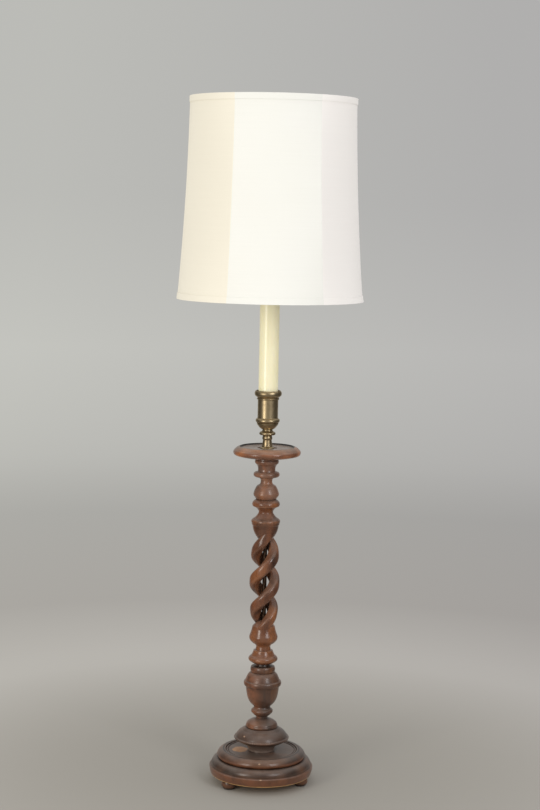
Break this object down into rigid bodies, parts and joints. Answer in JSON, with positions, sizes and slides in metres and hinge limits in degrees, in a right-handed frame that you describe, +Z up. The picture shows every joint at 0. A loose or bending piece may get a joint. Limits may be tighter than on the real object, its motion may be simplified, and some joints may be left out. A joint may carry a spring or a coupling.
{
  "type": "candlestick floor lamp",
  "caption": "Candlestick floor lamp with a turned open barley-twist column on a stepped round base, drip pan, brass cup, candle sleeve and tall fabric shade.",
  "frame": {"origin": "on the floor, in the middle under the lamp, on the column's axis", "axes": "+Z up along the column, -Y towards the front as pictured, +X to the right"},
  "size_m": [0.418, 0.418, 1.5494],
  "materials": {
    "dark_wood": "satin stained turned wood with worn edges",
    "aged_brass": "aged satin brass",
    "ivory_sleeve": "satin ivory candle sleeve",
    "plated_steel": "dull plated steel",
    "bright_brass": "satin brass",
    "paper_liner": "grey-brown fibre paper",
    "black_plastic": "moulded phenolic",
    "steel_shaft": "turned steel",
    "bulb_metal": "rolled aluminium",
    "frosted_glass": "frosted",
    "cream_fabric": "plain woven, stretched on the frame",
    "cream_trim": "narrow folded trim",
    "white_wire": "white enamel"
  },
  "bodies": {
    "lamp": {"foot_left": "dark_wood", "foot_right": "dark_wood", "foot_rear": "dark_wood", "base_plinth": "dark_wood", "base_step": "dark_wood", "base_dome": "dark_wood", "lower_urn": "dark_wood", "twist_column": "dark_wood", "bulb_turning": "dark_wood", "vase_turning": "dark_wood", "drip_pan": "dark_wood", "brass_stem": "aged_brass", "candle_cup": "aged_brass", "candle_sleeve": "ivory_sleeve", "lamp_pipe": "plated_steel", "bottom_washer": "plated_steel", "lock_nut": "plated_steel", "foot_screws": "plated_steel", "harp_saddle": "plated_steel", "sleeve_cap": "bright_brass", "holder_cap": "bright_brass", "holder_shell": "bright_brass", "screw_shell": "bright_brass", "centre_contact": "bright_brass", "harp": "bright_brass", "holder_liner": "paper_liner", "cord_bushing": "black_plastic", "holder_insulator": "black_plastic"},
    "shade": {"shade_fabric": "cream_fabric", "shade_trim_top": "cream_trim", "shade_trim_bottom": "cream_trim", "shade_frame": "white_wire"},
    "finial": {"finial": "bright_brass"},
    "switch": {"switch_shaft": "steel_shaft", "switch_key": "black_plastic"},
    "bulb": {"bulb_base": "bulb_metal", "bulb_glass": "frosted_glass"},
    "ferrule_l": {"ferrule_left": "plated_steel"},
    "ferrule_r": {"ferrule_right": "plated_steel"}
  },
  "joints": [
    {"name": "shade_turn", "type": "hinge", "parent": "lamp", "child": "shade", "pos_m": [0, 0, 1.52], "axis": [0, 0, 1], "continuous": true},
    {"name": "finial_turn", "type": "hinge", "parent": "lamp", "child": "finial", "pos_m": [0, 0, 1.53], "axis": [0, 0, 1], "continuous": true},
    {"name": "switch_turn", "type": "hinge", "parent": "lamp", "child": "switch", "pos_m": [0, -0.02, 1.2466], "axis": [0, -1, 0], "continuous": true},
    {"name": "bulb_turn", "type": "hinge", "parent": "lamp", "child": "bulb", "pos_m": [0, 0, 1.275], "axis": [0, 0, 1], "continuous": true},
    {"name": "ferrule_left_lift", "type": "slide", "parent": "lamp", "child": "ferrule_l", "axis": [0, 0, 1], "range_m": [0, 0.014]},
    {"name": "ferrule_right_lift", "type": "slide", "parent": "lamp", "child": "ferrule_r", "axis": [0, 0, 1], "range_m": [0, 0.014]}
  ]
}
